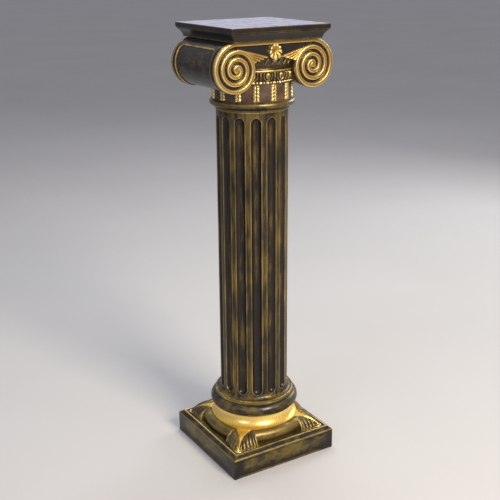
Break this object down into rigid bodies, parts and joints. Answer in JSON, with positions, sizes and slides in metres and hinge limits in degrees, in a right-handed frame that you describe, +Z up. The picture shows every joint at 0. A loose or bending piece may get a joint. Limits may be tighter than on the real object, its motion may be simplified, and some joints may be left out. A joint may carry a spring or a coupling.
{
  "type": "column plant stand",
  "caption": "Square-based fluted column stand with a volute capital and a flat square top that carries a potted plant or an ornament.",
  "frame": {"origin": "middle of the underside, on the floor", "axes": "+Z up the column; -Y is one of the two faces with volutes and a rosette; +X is a side with a roll"},
  "size_m": [0.3072, 0.2884, 1.05],
  "materials": {
    "base": "painted cast plaster: black-brown patina rubbed with olive gold on its edges, with a bright gilded hollow moulding and spurs",
    "shaft": "painted cast plaster: satin black-brown patina, rubbed with antique gold on the lands between the flutes",
    "capital": "painted cast plaster: black-brown patina with antique gold on volutes, rosettes and strips, and a glossy dark top plate"
  },
  "bodies": {
    "root": {"base": "base", "shaft": "shaft", "capital": "capital"}
  },
  "joints": []
}
